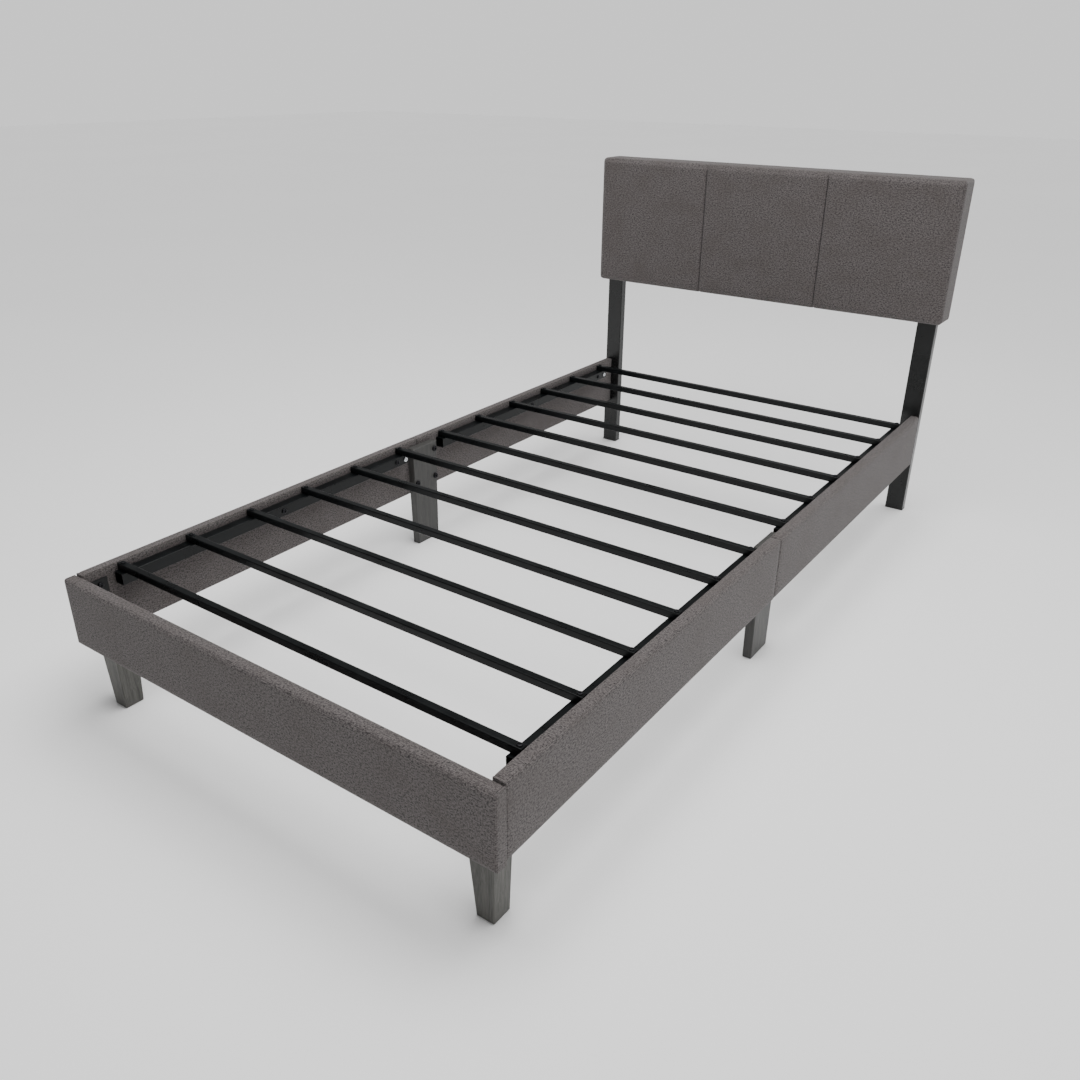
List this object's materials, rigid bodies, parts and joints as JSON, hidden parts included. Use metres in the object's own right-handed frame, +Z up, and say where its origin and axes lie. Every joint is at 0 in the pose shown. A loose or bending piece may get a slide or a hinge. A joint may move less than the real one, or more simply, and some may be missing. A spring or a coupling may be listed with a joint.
{
  "type": "upholstered twin bed frame",
  "caption": "Twin platform bed frame with a grey linen headboard, rails and footboard, black steel slats and posts, and tapered grey front legs.",
  "frame": {"origin": "on the floor, under the middle of the bed's outline", "axes": "+Y towards the headboard, -Y towards the footboard, +X across the bed, +Z up"},
  "size_m": [1.07, 1.986, 0.916],
  "materials": {
    "grey_linen": "woven grey-taupe linen, matte",
    "black_steel": "satin black powder coat",
    "grey_stained_wood": "grey stain with visible grain",
    "black_painted_wood": "satin black paint",
    "raw_board": "raw particle board and pine",
    "foam": "soft open-cell foam",
    "black_hardboard": "matte black",
    "black_plastic": "matte black",
    "black_oxide_steel": "black oxide, satin"
  },
  "bodies": {
    "root": {"footboard_core": "raw_board", "footboard_cover": "grey_linen", "front_bracket_left": "black_steel", "front_bracket_right": "black_steel", "front_leg_left": "grey_stained_wood", "front_leg_right": "grey_stained_wood", "headboard_back": "black_hardboard", "headboard_bar_bottom": "raw_board", "headboard_bar_top": "raw_board", "headboard_bolt_left_1": "black_oxide_steel", "headboard_bolt_left_2": "black_oxide_steel", "headboard_bolt_right_1": "black_oxide_steel", "headboard_bolt_right_2": "black_oxide_steel", "headboard_cover": "grey_linen", "headboard_foam": "foam", "headboard_panel": "raw_board", "headboard_upright_left": "raw_board", "headboard_upright_right": "raw_board", "middle_leg_bolt_left_1": "black_oxide_steel", "middle_leg_bolt_left_2": "black_oxide_steel", "middle_leg_bolt_left_3": "black_oxide_steel", "middle_leg_bolt_left_4": "black_oxide_steel", "middle_leg_bolt_right_1": "black_oxide_steel", "middle_leg_bolt_right_2": "black_oxide_steel", "middle_leg_bolt_right_3": "black_oxide_steel", "middle_leg_bolt_right_4": "black_oxide_steel", "middle_leg_left": "black_painted_wood", "middle_leg_right": "black_painted_wood", "post_foot_plug_left": "black_plastic", "post_foot_plug_right": "black_plastic", "rail_bolt_left_1": "black_oxide_steel", "rail_bolt_left_2": "black_oxide_steel", "rail_bolt_right_1": "black_oxide_steel", "rail_bolt_right_2": "black_oxide_steel", "rail_left_front_core": "raw_board", "rail_left_front_cover": "grey_linen", "rail_left_rear_core": "raw_board", "rail_left_rear_cover": "grey_linen", "rail_right_front_core": "raw_board", "rail_right_front_cover": "grey_linen", "rail_right_rear_core": "raw_board", "rail_right_rear_cover": "grey_linen", "rear_post_left": "black_steel", "rear_post_right": "black_steel", "slat_01": "black_steel", "slat_02": "black_steel", "slat_03": "black_steel", "slat_04": "black_steel", "slat_05": "black_steel", "slat_06": "black_steel", "slat_07": "black_steel", "slat_08": "black_steel", "slat_09": "black_steel", "slat_10": "black_steel", "slat_11": "black_steel", "slat_12": "black_steel", "support_tube_left_front": "black_steel", "support_tube_left_rear": "black_steel", "support_tube_right_front": "black_steel", "support_tube_right_rear": "black_steel"}
  },
  "joints": []
}
